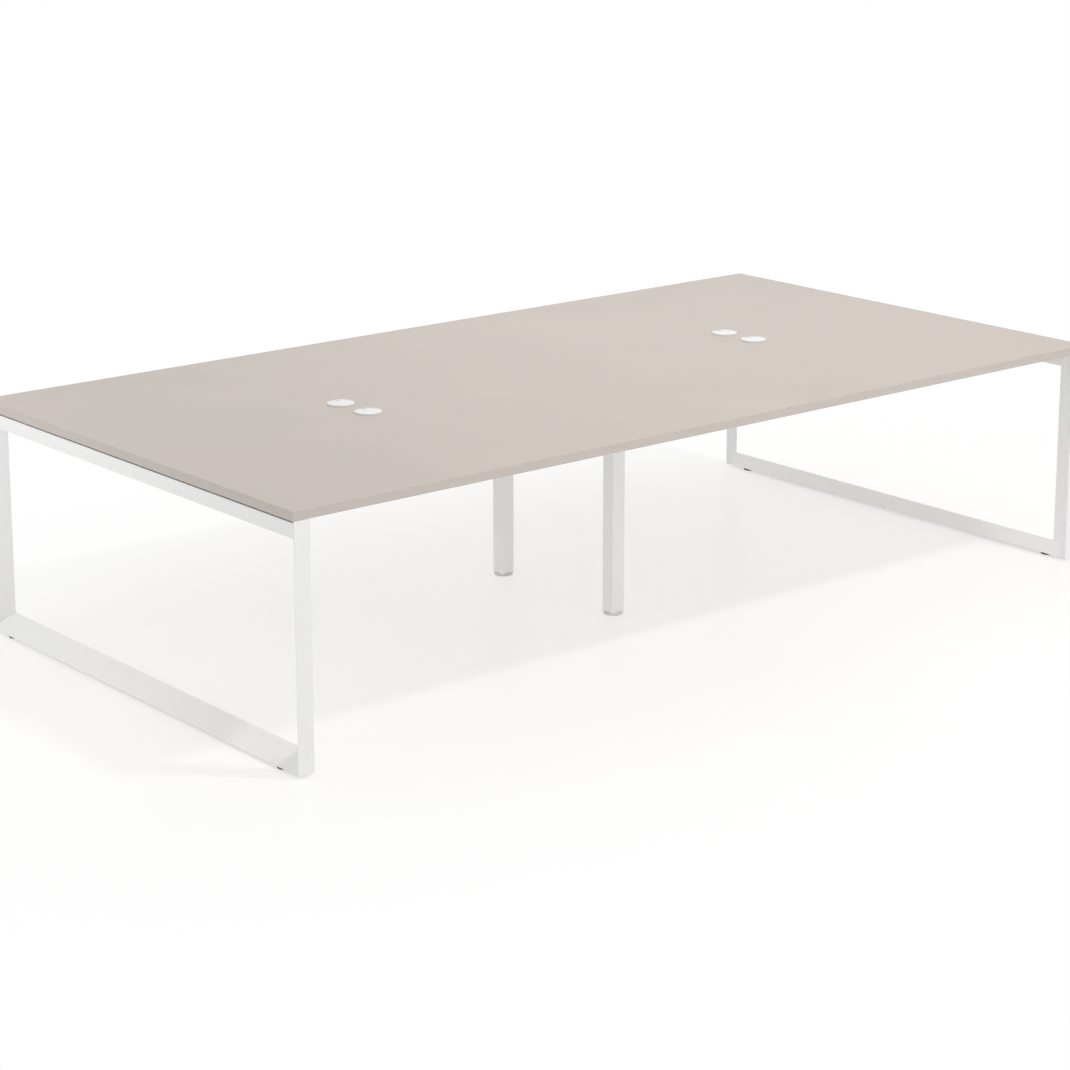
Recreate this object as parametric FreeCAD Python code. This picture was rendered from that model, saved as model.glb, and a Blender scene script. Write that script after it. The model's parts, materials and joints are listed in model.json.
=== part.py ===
"""Rectangular meeting table: two-part laminate top on mitred triangular-tube end frames.

Millimetres. The origin is on the floor under the middle of the top, +X runs along the length,
+Y runs across to the rear edge and +Z is up. Left is -X, right is +X, front is -Y, rear is +Y.
"""
import FreeCAD, Part
import math
import os

Vector = FreeCAD.Vector
X_AXIS = Vector(1, 0, 0)
Y_AXIS = Vector(0, 1, 0)
Z_AXIS = Vector(0, 0, 1)
ORIGIN = Vector(0, 0, 0)

# Overall size
length = 3200.0
width = 1650.0
height = 740.0

# Top: two boards that meet at mid length, with a band on each outer edge
board_thickness = 28.0
band_thickness = 2.0
band_edge_radius = 1.5
seam_gap = 0.2

# End frames: legs and bottom rail are right-angled triangular tubes, the top rail is a box tube
frame_width = 55.0
frame_depth = 55.0
frame_wall = 2.0
acute_edge_radius = 1.0
square_edge_radius = 2.0
frame_ground_gap = 8.0
top_rail_height = 43.0
top_rail_gap = 4.0
plug_clearance = 0.15

# Beams along the table, the cross beam under the seam and the plates that join them
beam_width = 40.0
beam_height = 40.0
beam_wall = 2.0
beam_spacing = 550.0
cross_beam_width = 60.0
cross_beam_length = 1200.0
end_plate_thickness = 5.0
end_plate_width = 84.0
end_plate_height = 36.0
end_plate_bolt_spacing = 60.0
beam_cap_plate = 3.0
beam_cap_depth = 15.0

# Centre legs
centre_leg_size = 50.0
centre_leg_wall = 2.0
centre_leg_edge_radius = 4.0
head_plate_thickness = 5.0
head_plate_length = 130.0
head_plate_bolt_spacing = 90.0
foot_bush_height = 25.0

# Levelling feet
foot_radius = 22.0
centre_foot_radius = 31.0
foot_home_gap = 0.3
foot_end_offset = 100.0
stud_radius = 4.0
stud_clearance = 0.05
stud_top = 26.0

# Hexagon bolts and nuts
hex_across_flats = 13.0
bolt_head_height = 5.3
bolt_tail = 2.0
nut_height = 6.5
bolt_hole_clearance = 0.3

# Wood screws that hold the boards
screw_shank_radius = 2.4
screw_head_radius = 5.0
screw_head_height = 3.0
screw_depth_in_board = 18.0
pilot_clearance = 0.1
pilot_extra_depth = 2.0
screw_hole_clearance = 0.6
access_hole_radius = 7.0
spacer_radius = 10.0
rail_screw_inset = 250.0
beam_screw_inset = 300.0
cross_screw_inset = 110.0
seam_screw_offset = 17.0

# Sides of the small repeated round pieces, which are modelled as prisms
fastener_sides = 6
pad_sides = 32
sleeve_sides = 24

# Cable outlets: a sleeve with a slotted flange and a lid that turns over it
outlet_spacing = 140.0
outlet_hole_radius = 40.0
outlet_hole_clearance = 0.2
sleeve_wall = 2.2
sleeve_depth = 24.0
flange_radius = 42.5
flange_height = 3.4
slot_width = 25.0
slot_inner = 13.0
slot_outer = 36.0
lid_radius = 41.5
lid_thickness = 1.2
lid_notch_width = 20.0
lid_notch_inner = 22.0
lid_running_gap = 0.3
lid_pin_radius = 4.0
lid_pin_clearance = 0.05
lid_pin_head_radius = 6.0
lid_pin_head_height = 2.5

# Levels and planes that several pieces share
half_length = length / 2
half_width = width / 2
underside = height - board_thickness
rail_top = underside - top_rail_gap
rail_bottom = rail_top - top_rail_height
frame_inner = half_length - frame_width
beam_bottom = underside - beam_height
beam_y = beam_spacing / 2
outlet_x = half_length / 2
outlet_y = outlet_spacing / 2
cross_half = cross_beam_width / 2
head_plate_bottom = beam_bottom - head_plate_thickness
foot_x = half_length - frame_width / 2
foot_y = half_width - foot_end_offset
beam_outer_end = frame_inner - end_plate_thickness
beam_inner_end = cross_half + end_plate_thickness
end_plate_middle = beam_bottom + end_plate_height / 2
nut_bore_radius = stud_radius + stud_clearance
bolt_hole_radius = stud_radius + bolt_hole_clearance
screw_hole_radius = screw_shank_radius + screw_hole_clearance
pilot_radius = screw_shank_radius + pilot_clearance


def rounded_wire(points, radii):
    """Closed planar outline through the points, each corner rounded to its radius."""
    count = len(points)
    corners = []
    for i, (point, radius) in enumerate(zip(points, radii)):
        back = (points[i - 1] - point).normalize()
        ahead = (points[(i + 1) % count] - point).normalize()
        half_angle = back.getAngle(ahead) / 2
        run = radius / math.tan(half_angle)
        middle = (back + ahead).normalize() * (radius / math.sin(half_angle) - radius)
        corners.append((point + back * run, point + middle, point + ahead * run))
    edges = []
    for i, (start, middle, end) in enumerate(corners):
        if radii[i] > 0:
            edges.append(Part.Arc(start, middle, end).toShape())
        edges.append(Part.LineSegment(end, corners[(i + 1) % count][0]).toShape())
    return Part.Wire(edges)


def polygon(points):
    """Closed outline with sharp corners."""
    return Part.makePolygon(points + points[:1])


def prism(points, run):
    """Solid swept from a sharp-cornered outline along a vector."""
    return Part.Face(polygon(points)).extrude(run)


def tube(points, radii, wall, run):
    """Hollow section, open at both ends, with its outer edges rounded where a radius is given."""
    outer = Part.Face(rounded_wire(points, radii)).extrude(run)
    inner_wire = polygon(points).makeOffset2D(-wall, 2)
    return outer.cut(Part.Face(inner_wire).extrude(run))


def rectangle(centre, side, rise):
    """Corners of a rectangle about a point, from the vectors along its two sides."""
    across = side / 2
    upward = rise / 2
    return [centre - across - upward, centre + across - upward,
            centre + across + upward, centre - across + upward]


def block(low, high):
    """Box between two corners."""
    size = high - low
    return Part.makeBox(size.x, size.y, size.z, low)


def rod(radius, start, run):
    """Cylinder from a point along a vector."""
    return Part.makeCylinder(radius, run.Length, start, run)


def prism_rod(radius, start, run, sides=fastener_sides):
    """Small rod modelled as a prism, its edges at the radius."""
    axis = Vector(run).normalize()
    side = axis.cross(X_AXIS if abs(axis.x) < 0.5 else Z_AXIS)
    rays = [FreeCAD.Rotation(axis, 360 * k / sides).multVec(side) for k in range(sides)]
    return prism([start + ray * radius for ray in rays], run)


def hexagon(start, run):
    """Hexagon prism of the standard size across flats."""
    return prism_rod(hex_across_flats / math.sqrt(3), start, run, 6)


def mirrored_x(shape):
    """The same piece on the other end."""
    return shape.mirror(ORIGIN, X_AXIS)


def mirrored_y(shape):
    """The same piece on the other long side."""
    return shape.mirror(ORIGIN, Y_AXIS)


def four_corners(shape):
    """The piece and its images in both middle planes."""
    pair = [shape, mirrored_x(shape)]
    return pair + [mirrored_y(piece) for piece in pair]


def cut_all(shape, tools):
    """The shape with every tool taken out of it."""
    return shape.cut(Part.makeCompound(tools))


def save(name, shape):
    """Write one named piece, or one group of equal pieces."""
    shape.exportStep(os.path.join("parts", name + ".step"))


def outlet_places():
    """Middle of each cable outlet on the table top, by name."""
    places = {}
    for side, x in (("left", -outlet_x), ("right", outlet_x)):
        for row, y in (("front", -outlet_y), ("rear", outlet_y)):
            places[side + "_" + row] = Vector(x, y, height)
    return places


def foot_places():
    """Point on the floor under each levelling foot, by name."""
    places = {}
    for row, sign in (("front", -1), ("rear", 1)):
        places["left_" + row] = Vector(-foot_x, sign * foot_y, 0)
        places["right_" + row] = Vector(foot_x, sign * foot_y, 0)
        places["centre_" + row] = Vector(0, sign * beam_y, 0)
    return places


def rail_screw_places():
    """Screw points of both top rails, at the underside of the boards."""
    y = half_width - rail_screw_inset
    return [Vector(side * foot_x, row * y, underside) for side in (-1, 1) for row in (-1, 1)]


def beam_screw_places():
    """Screw points of the four beams, at the underside of the boards."""
    ends = (beam_outer_end - beam_screw_inset, beam_inner_end + beam_screw_inset)
    return [Vector(side * x, row * beam_y, underside)
            for side in (-1, 1) for row in (-1, 1) for x in ends]


def cross_screw_places():
    """Screw points of the cross beam, on both sides of the seam."""
    y = cross_beam_length / 2 - cross_screw_inset
    return [Vector(side * seam_screw_offset, row * y, underside) for side in (-1, 1) for row in (-1, 1)]


def board(side):
    """One half of the top: side is -1 for the left half and 1 for the right half."""
    seam = side * seam_gap / 2
    end = side * (half_length - band_thickness)
    y = half_width - band_thickness
    body = block(Vector(min(seam, end), -y, underside), Vector(max(seam, end), y, height))
    drills = [rod(outlet_hole_radius, place - Z_AXIS * board_thickness, Z_AXIS * board_thickness)
              for place in outlet_places().values()]
    for place in rail_screw_places() + beam_screw_places() + cross_screw_places():
        drills.append(prism_rod(pilot_radius, place, Z_AXIS * (screw_depth_in_board + pilot_extra_depth)))
    return cut_all(body, [drill for drill in drills if drill.CenterOfMass.x * side > 0])


def band_section(inner, outward):
    """Edge band profile: flat on the board, rounded at its two outer arrises."""
    out = outward * band_thickness
    rise = Z_AXIS * board_thickness
    points = [inner, inner + out, inner + out + rise, inner + rise]
    return Part.Face(rounded_wire(points, [0, band_edge_radius, band_edge_radius, 0]))


def corner_wedge(inside):
    """Half of the space at the left front corner, cut off by the mitre of the bands."""
    corner = Vector(-half_length, -half_width, underside)
    far = length
    third = Vector(far, 0, 0) if inside == "front" else Vector(0, far, 0)
    return prism([corner, corner + Vector(far, far, 0), corner + third], Z_AXIS * board_thickness)


def end_band():
    """Band of the left end, mitred at the front and rear corners."""
    start = Vector(-half_length + band_thickness, -half_width, underside)
    strip = band_section(start, -X_AXIS).extrude(Y_AXIS * width)
    wedge = corner_wedge("front")
    return cut_all(strip, [wedge, mirrored_y(wedge)])


def front_band():
    """Band of the left half's front edge, from the corner mitre to the seam."""
    start = Vector(-half_length, -half_width + band_thickness, underside)
    strip = band_section(start, -Y_AXIS).extrude(X_AXIS * (half_length - seam_gap / 2))
    return strip.cut(corner_wedge("end"))


def triangle_radii():
    """Edge radii of the triangular tube: acute, square, acute."""
    return [acute_edge_radius, square_edge_radius, acute_edge_radius]


def mitre_block(part_above):
    """Space on one side of the bottom mitre of the left front corner."""
    foot = Vector(-half_length, -half_width, frame_ground_gap)
    reach = 2 * frame_depth
    diagonal = foot + Vector(0, reach, reach)
    third = foot + (Z_AXIS if part_above else Y_AXIS) * reach
    return prism([foot, diagonal, third], X_AXIS * frame_width)


def leg_section(level):
    """Plan of the left front leg: outer arris, inner front arris, inner rear arris."""
    corner = Vector(-half_length, -half_width, level)
    return [corner, corner + X_AXIS * frame_width, corner + Vector(frame_width, frame_depth, 0)]


def end_leg():
    """Left front leg, mitred at the bottom and square at the top."""
    run = Z_AXIS * (underside - frame_ground_gap)
    body = tube(leg_section(frame_ground_gap), triangle_radii(), frame_wall, run)
    return body.cut(mitre_block(False))


def bottom_rail():
    """Left bottom rail, mitred to both legs and drilled for its feet."""
    corner = Vector(-half_length, -half_width, frame_ground_gap)
    points = [corner, corner + X_AXIS * frame_width, corner + Vector(frame_width, 0, frame_depth)]
    body = tube(points, triangle_radii(), frame_wall, Y_AXIS * width)
    wedge = mitre_block(True)
    holes = [prism_rod(bolt_hole_radius, place + Z_AXIS * frame_ground_gap, Z_AXIS * frame_wall)
             for name, place in foot_places().items() if name.startswith("left")]
    return cut_all(body, [wedge, mirrored_y(wedge)] + holes)


def bolt_rows(x):
    """Points of the end plate bolts in one plane square to the length."""
    return [Vector(x, row * beam_y + k * end_plate_bolt_spacing / 2, end_plate_middle)
            for row in (-1, 1) for k in (-1, 1)]


def top_rail():
    """Left top rail: a box tube whose ends are cut to the slanting faces of the legs."""
    middle = Vector(-half_length + frame_width / 2, -half_width, (rail_top + rail_bottom) / 2)
    corners = rectangle(middle, X_AXIS * frame_width, Z_AXIS * top_rail_height)
    body = tube(corners, [square_edge_radius] * 4, frame_wall, Y_AXIS * width)
    leg = leg_section(rail_bottom)
    slope = (leg[2] - leg[0]) * 2
    end = prism([leg[0], leg[0] + X_AXIS * slope.x, leg[0] + slope], Z_AXIS * top_rail_height)
    tools = [end, mirrored_y(end)]
    for place in rail_screw_places():
        if place.x < 0:
            seat = Vector(place.x, place.y, rail_top)
            below = Vector(place.x, place.y, rail_bottom)
            tools.append(prism_rod(screw_hole_radius, seat, -Z_AXIS * frame_wall))
            tools.append(prism_rod(access_hole_radius, below, Z_AXIS * frame_wall))
    tools += [prism_rod(bolt_hole_radius, point, -X_AXIS * frame_wall) for point in bolt_rows(-frame_inner)]
    return cut_all(body, tools)


def half_beam():
    """Left front beam, from the end frame's plate to the cross beam's plate."""
    start = Vector(-beam_outer_end, -beam_y, underside - beam_height / 2)
    run = X_AXIS * (beam_outer_end - beam_inner_end)
    corners = rectangle(start, Y_AXIS * beam_width, Z_AXIS * beam_height)
    body = tube(corners, [0] * 4, beam_wall, run)
    tools = []
    for place in beam_screw_places():
        if place.x < 0 and place.y < 0:
            below = Vector(place.x, place.y, beam_bottom)
            tools.append(prism_rod(screw_hole_radius, place, -Z_AXIS * beam_wall))
            tools.append(prism_rod(access_hole_radius, below, Z_AXIS * beam_wall))
    return cut_all(body, tools)


def end_plates():
    """Two drilled plates of the left front beam, one at each end."""
    plates = []
    for x in (-frame_inner, -beam_inner_end):
        middle = Vector(x, -beam_y, end_plate_middle)
        corners = rectangle(middle, Y_AXIS * end_plate_width, Z_AXIS * end_plate_height)
        plate = prism(corners, X_AXIS * end_plate_thickness)
        holes = [prism_rod(bolt_hole_radius, point, X_AXIS * end_plate_thickness) for point in bolt_rows(x)]
        plates.append(cut_all(plate, holes))
    return plates


def head_bolt_places():
    """Points of the centre leg bolts, on the underside of the cross beam."""
    return [Vector(0, row * beam_y + k * head_plate_bolt_spacing / 2, beam_bottom)
            for row in (-1, 1) for k in (-1, 1)]


def cross_beam():
    """Beam across the table under the seam, drilled for the beams, legs and boards."""
    start = Vector(0, -cross_beam_length / 2, underside - beam_height / 2)
    corners = rectangle(start, X_AXIS * cross_beam_width, Z_AXIS * beam_height)
    body = tube(corners, [0] * 4, beam_wall, Y_AXIS * cross_beam_length)
    tools = [prism_rod(bolt_hole_radius, point, Z_AXIS * beam_wall) for point in head_bolt_places()]
    for point in bolt_rows(-cross_half):
        hole = prism_rod(bolt_hole_radius, point, X_AXIS * beam_wall)
        tools += [hole, mirrored_x(hole)]
    for place in cross_screw_places():
        below = Vector(place.x, place.y, beam_bottom)
        tools.append(prism_rod(screw_hole_radius, place, -Z_AXIS * beam_wall))
        tools.append(prism_rod(access_hole_radius, below, Z_AXIS * beam_wall))
    return cut_all(body, tools)


def cross_beam_cap():
    """Plug in the front end of the cross beam."""
    end = Vector(0, -cross_beam_length / 2, underside - beam_height / 2)
    inset = 2 * (beam_wall + plug_clearance)
    corners = rectangle(end, X_AXIS * cross_beam_width, Z_AXIS * beam_height)
    spigot = rectangle(end, X_AXIS * (cross_beam_width - inset), Z_AXIS * (beam_height - inset))
    return prism(corners, -Y_AXIS * beam_cap_plate).fuse(prism(spigot, Y_AXIS * beam_cap_depth))


def centre_leg():
    """Front centre leg: square tube from its foot to the head plate."""
    start = Vector(0, -beam_y, frame_ground_gap)
    corners = rectangle(start, X_AXIS * centre_leg_size, Y_AXIS * centre_leg_size)
    run = Z_AXIS * (head_plate_bottom - frame_ground_gap)
    return tube(corners, [centre_leg_edge_radius] * 4, centre_leg_wall, run)


def head_plate():
    """Plate on the front centre leg that bolts to the cross beam."""
    middle = Vector(0, -beam_y, head_plate_bottom)
    corners = rectangle(middle, X_AXIS * cross_beam_width, Y_AXIS * head_plate_length)
    run = Z_AXIS * head_plate_thickness
    holes = [prism_rod(bolt_hole_radius, point, -run) for point in head_bolt_places()]
    return cut_all(prism(corners, run), holes)


def foot_bush():
    """Bush in the lower end of the front centre leg, with the foot's thread."""
    side = centre_leg_size - 2 * (centre_leg_wall + plug_clearance)
    start = Vector(0, -beam_y, frame_ground_gap)
    body = prism(rectangle(start, X_AXIS * side, Y_AXIS * side), Z_AXIS * foot_bush_height)
    return body.cut(prism_rod(nut_bore_radius, start, Z_AXIS * foot_bush_height))


def nut(start, run):
    """Hexagon nut from a point along a vector."""
    return hexagon(start, run).cut(prism_rod(nut_bore_radius, start, run))


def foot_nuts():
    """Weld nuts of the frame feet, on the inside of the bottom rails."""
    level = Z_AXIS * (frame_ground_gap + frame_wall)
    return [nut(place + level, Z_AXIS * nut_height)
            for name, place in foot_places().items() if not name.startswith("centre")]


def bolt(seat, grip, direction):
    """Hexagon bolt whose head sits on a point and whose shank runs along a direction."""
    shank = prism_rod(stud_radius, seat, direction * (grip + nut_height + bolt_tail))
    return hexagon(seat, -direction * bolt_head_height).fuse(shank).removeSplitter()


def beam_bolts_and_nuts():
    """Bolts and nuts of the left end plates: outer ones into the rail, inner ones into the cross beam."""
    bolts = []
    nuts = []
    for point in bolt_rows(-frame_inner):
        bolts.append(bolt(point + X_AXIS * end_plate_thickness, end_plate_thickness + frame_wall, -X_AXIS))
        nuts.append(nut(point - X_AXIS * frame_wall, -X_AXIS * nut_height))
    for point in bolt_rows(-cross_half):
        bolts.append(bolt(point - X_AXIS * end_plate_thickness, end_plate_thickness + beam_wall, X_AXIS))
        nuts.append(nut(point + X_AXIS * beam_wall, X_AXIS * nut_height))
    return bolts, nuts


def head_bolts_and_nuts():
    """Bolts and nuts that hold the centre legs to the cross beam."""
    bolts = []
    nuts = []
    for point in head_bolt_places():
        bolts.append(bolt(point - Z_AXIS * head_plate_thickness, head_plate_thickness + beam_wall, Z_AXIS))
        nuts.append(nut(point + Z_AXIS * beam_wall, Z_AXIS * nut_height))
    return bolts, nuts


def screw(place, grip):
    """Wood screw driven upwards: its head bears below the board by the grip."""
    seat = place - Z_AXIS * grip
    head = prism_rod(screw_head_radius, seat, -Z_AXIS * screw_head_height)
    return head.fuse(prism_rod(screw_shank_radius, seat, Z_AXIS * (grip + screw_depth_in_board)))


def top_screws():
    """Screws of the rails, beams and cross beam into the boards."""
    screws = [screw(place, top_rail_gap + frame_wall) for place in rail_screw_places()]
    return screws + [screw(place, beam_wall) for place in beam_screw_places() + cross_screw_places()]


def rail_spacers():
    """Washers that hold the boards off the top rails at each screw."""
    run = -Z_AXIS * top_rail_gap
    return [prism_rod(spacer_radius, place, run).cut(prism_rod(screw_hole_radius, place, run))
            for place in rail_screw_places()]


def foot_pad(place, radius):
    """Round pad of a levelling foot."""
    return prism_rod(radius, place, Z_AXIS * (frame_ground_gap - foot_home_gap), pad_sides)


def foot_stud(place):
    """Threaded stud of a levelling foot, standing on its pad."""
    base = frame_ground_gap - foot_home_gap
    return prism_rod(stud_radius, place + Z_AXIS * base, Z_AXIS * (stud_top - base))


def outlet_sleeve():
    """Sleeve of a cable outlet: flange on the board, with its slot in front, and a tube through it."""
    outer = outlet_hole_radius - outlet_hole_clearance
    inner = outer - sleeve_wall
    skirt = prism_rod(outer, ORIGIN, -Z_AXIS * sleeve_depth, sleeve_sides)
    hollow = prism_rod(inner, ORIGIN, -Z_AXIS * sleeve_depth, sleeve_sides)
    flange = rod(flange_radius, ORIGIN, Z_AXIS * flange_height)
    pivot_corner = (lid_pin_radius + lid_pin_clearance) / math.cos(math.pi / fastener_sides)
    pivot = prism_rod(pivot_corner, ORIGIN, Z_AXIS * flange_height)
    slot = block(Vector(-slot_width / 2, -slot_outer, 0), Vector(slot_width / 2, -slot_inner, flange_height))
    return cut_all(flange, [pivot, slot]).fuse(skirt.cut(hollow))


def outlet_lid():
    """Lid of a cable outlet: disc with a notch in its rear rim, turning on a headed pin in the flange."""
    base = flange_height + lid_running_gap
    disc = rod(lid_radius, Z_AXIS * base, Z_AXIS * lid_thickness)
    notch = block(Vector(-lid_notch_width / 2, lid_notch_inner, base),
                  Vector(lid_notch_width / 2, flange_radius, base + lid_thickness))
    pin = prism_rod(lid_pin_radius, Z_AXIS * base, -Z_AXIS * (base + lid_running_gap))
    head = prism_rod(lid_pin_head_radius, -Z_AXIS * lid_running_gap, -Z_AXIS * lid_pin_head_height)
    return disc.cut(notch).fuse(pin).fuse(head)


def build():
    """Make every piece and write it under its own name."""
    os.makedirs("parts", exist_ok=True)
    save("left_board", board(-1))
    save("right_board", board(1))
    save("left_end_band", end_band())
    save("right_end_band", mirrored_x(end_band()))
    for row, strip in (("front", front_band()), ("rear", mirrored_y(front_band()))):
        save("left_" + row + "_band", strip)
        save("right_" + row + "_band", mirrored_x(strip))
    for row, leg in (("front", end_leg()), ("rear", mirrored_y(end_leg()))):
        save("left_" + row + "_leg", leg)
        save("right_" + row + "_leg", mirrored_x(leg))
    for name, piece in (("bottom_rail", bottom_rail()), ("top_rail", top_rail())):
        save("left_" + name, piece)
        save("right_" + name, mirrored_x(piece))
    for row, beam in (("front", half_beam()), ("rear", mirrored_y(half_beam()))):
        save("left_" + row + "_beam", beam)
        save("right_" + row + "_beam", mirrored_x(beam))
    save("beam_end_plates", Part.makeCompound([p for plate in end_plates() for p in four_corners(plate)]))
    save("cross_beam", cross_beam())
    save("cross_beam_caps", Part.makeCompound([cross_beam_cap(), mirrored_y(cross_beam_cap())]))
    for name, piece in (("leg", centre_leg()), ("head_plate", head_plate()), ("foot_bush", foot_bush())):
        save("centre_front_" + name, piece)
        save("centre_rear_" + name, mirrored_y(piece))
    bolts, nuts = beam_bolts_and_nuts()
    save("beam_bolts", Part.makeCompound(bolts + [mirrored_x(piece) for piece in bolts]))
    save("beam_nuts", Part.makeCompound(nuts + [mirrored_x(piece) for piece in nuts]))
    bolts, nuts = head_bolts_and_nuts()
    save("centre_leg_bolts", Part.makeCompound(bolts))
    save("centre_leg_nuts", Part.makeCompound(nuts))
    save("foot_nuts", Part.makeCompound(foot_nuts()))
    save("top_screws", Part.makeCompound(top_screws()))
    save("rail_spacers", Part.makeCompound(rail_spacers()))
    for name, place in foot_places().items():
        radius = centre_foot_radius if name.startswith("centre") else foot_radius
        save(name + "_foot_pad", foot_pad(place, radius))
        save(name + "_foot_stud", foot_stud(place))
    for name, place in outlet_places().items():
        save(name + "_outlet_lid", outlet_lid().translated(place))
    sleeves = [outlet_sleeve().translated(place) for place in outlet_places().values()]
    save("outlet_sleeves", Part.makeCompound(sleeves))


build()
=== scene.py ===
"""Rectangular meeting table: finishes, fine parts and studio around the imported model.

Metres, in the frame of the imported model: +X along the table, +Y to its rear edge, +Z up.
"""
import json
import logging
import math
from collections.abc import Callable, Iterable, Mapping, Sequence
from dataclasses import dataclass
from enum import Enum
from typing import Any

import bmesh
import bpy
from bpy.types import ID, GeometryNodeTree, Material, Mesh, NodeSocket, NodeTree, Object
from mathutils import Matrix, Vector


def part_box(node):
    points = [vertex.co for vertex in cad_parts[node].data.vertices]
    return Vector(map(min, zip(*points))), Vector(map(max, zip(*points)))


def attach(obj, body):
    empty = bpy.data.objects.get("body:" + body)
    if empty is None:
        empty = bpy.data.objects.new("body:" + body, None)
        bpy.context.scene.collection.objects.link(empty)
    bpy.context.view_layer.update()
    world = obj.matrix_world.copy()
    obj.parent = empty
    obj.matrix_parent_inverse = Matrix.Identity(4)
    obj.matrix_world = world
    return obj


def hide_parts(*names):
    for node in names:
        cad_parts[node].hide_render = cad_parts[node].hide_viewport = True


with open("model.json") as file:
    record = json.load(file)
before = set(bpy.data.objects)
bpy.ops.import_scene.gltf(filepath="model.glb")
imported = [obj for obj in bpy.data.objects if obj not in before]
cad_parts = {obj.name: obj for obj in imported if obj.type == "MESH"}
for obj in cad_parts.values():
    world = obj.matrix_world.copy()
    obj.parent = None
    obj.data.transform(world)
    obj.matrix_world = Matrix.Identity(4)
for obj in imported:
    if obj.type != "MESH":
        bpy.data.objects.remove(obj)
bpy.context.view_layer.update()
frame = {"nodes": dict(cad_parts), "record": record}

LOG = logging.getLogger("meeting_table")
MM = 0.001
TAU = 2 * math.pi
MERGE_DISTANCE = 0.002 * MM
FLAT_ANGLE = math.radians(0.5)
SHARP_ANGLE = math.radians(32)
ROUNDING_STEPS = 2
PATTERN_MIDDLE = 0.5
THREAD_SIDES = 20
RINGS_PER_TURN = 6.0
BEAD_SIDES = 8
POINTS_PER_RIPPLE = 4.0
BEAD_RADIUS = 2.2 * MM
BEAD_RIPPLE = 0.25 * MM
RIPPLE_LENGTH = 3.2 * MM
WHITE = (1.0, 1.0, 1.0, 1.0)
TABLE_BODY = "table"

Names = tuple[str, ...]
Pair = tuple[float, float]
Outline = Sequence[Pair]
Point = tuple[float, float, float]
Tone = tuple[int, int, int]


class Slot(Enum):
    """Material slots of the record."""

    TAUPE_LAMINATE = "taupe_laminate"
    TAUPE_EDGE = "taupe_edge"
    WHITE_STEEL = "white_steel"
    WHITE_PLASTIC = "white_plastic"
    BLACK_PLASTIC = "black_plastic"
    GREY_PLASTIC = "grey_plastic"
    ZINC_STEEL = "zinc_steel"


class Direction(Enum):
    """Way that a fastener's shank points, as the turn from +Z."""

    UP = (0.0, 0.0, 0.0)
    RIGHT = (0.0, math.pi / 2, 0.0)
    LEFT = (0.0, -math.pi / 2, 0.0)


Place = tuple[Point, Direction]


@dataclass(frozen=True)
class Thread:
    """Sizes of a thread."""

    radius: float
    depth: float
    pitch: float


BOLT_THREAD = Thread(3.65 * MM, 0.6 * MM, 1.25 * MM)
SCREW_THREAD = Thread(2.1 * MM, 0.7 * MM, 2.4 * MM)


def both(distance: float) -> Pair:
    """A distance on both sides of the middle."""
    return (-distance, distance)


def upright(spots: Iterable[Pair], level: float) -> list[Place]:
    """Places for pieces that point up from one level."""
    return [((x, y, level), Direction.UP) for x, y in spots]


def in_scene(name: str, data: ID) -> Object:
    """Put a new object in the scene.

    Args:
        name: The object's name.
        data: Its mesh, light or camera.

    Returns:
        The object, at the origin.
    """
    made = bpy.data.objects.new(name, data)
    bpy.context.scene.collection.objects.link(made)
    return made


def linear(tone: Tone) -> tuple[float, float, float, float]:
    """Scene-linear colour of a screen colour.

    Args:
        tone: Red, green and blue from 0 to 255.

    Returns:
        The colour with an alpha of 1.
    """
    parts = [value / 255 for value in tone]
    curved = [p / 12.92 if p <= 0.04045 else ((p + 0.055) / 1.055) ** 2.4 for p in parts]
    return (curved[0], curved[1], curved[2], 1.0)


class Wire:
    """One output socket; arithmetic on it adds the Math nodes."""

    def __init__(self, bench: "Bench", socket: NodeSocket) -> None:
        """Keep the socket and the bench that it belongs to."""
        self.bench = bench
        self.socket = socket

    def __add__(self, other: Any) -> "Wire":
        """This value plus another."""
        return self.bench.calc("ADD", self, other)

    def __radd__(self, other: Any) -> "Wire":
        """Another value plus this one."""
        return self.bench.calc("ADD", other, self)

    def __sub__(self, other: Any) -> "Wire":
        """This value minus another."""
        return self.bench.calc("SUBTRACT", self, other)

    def __rsub__(self, other: Any) -> "Wire":
        """Another value minus this one."""
        return self.bench.calc("SUBTRACT", other, self)

    def __mul__(self, other: Any) -> "Wire":
        """This value times another."""
        return self.bench.calc("MULTIPLY", self, other)

    def __rmul__(self, other: Any) -> "Wire":
        """Another value times this one."""
        return self.bench.calc("MULTIPLY", other, self)

    def __truediv__(self, other: Any) -> "Wire":
        """This value over another."""
        return self.bench.calc("DIVIDE", self, other)

    def __rtruediv__(self, other: Any) -> "Wire":
        """Another value over this one."""
        return self.bench.calc("DIVIDE", other, self)

    def __abs__(self) -> "Wire":
        """This value without its sign."""
        return self.bench.calc("ABSOLUTE", self)


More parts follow.
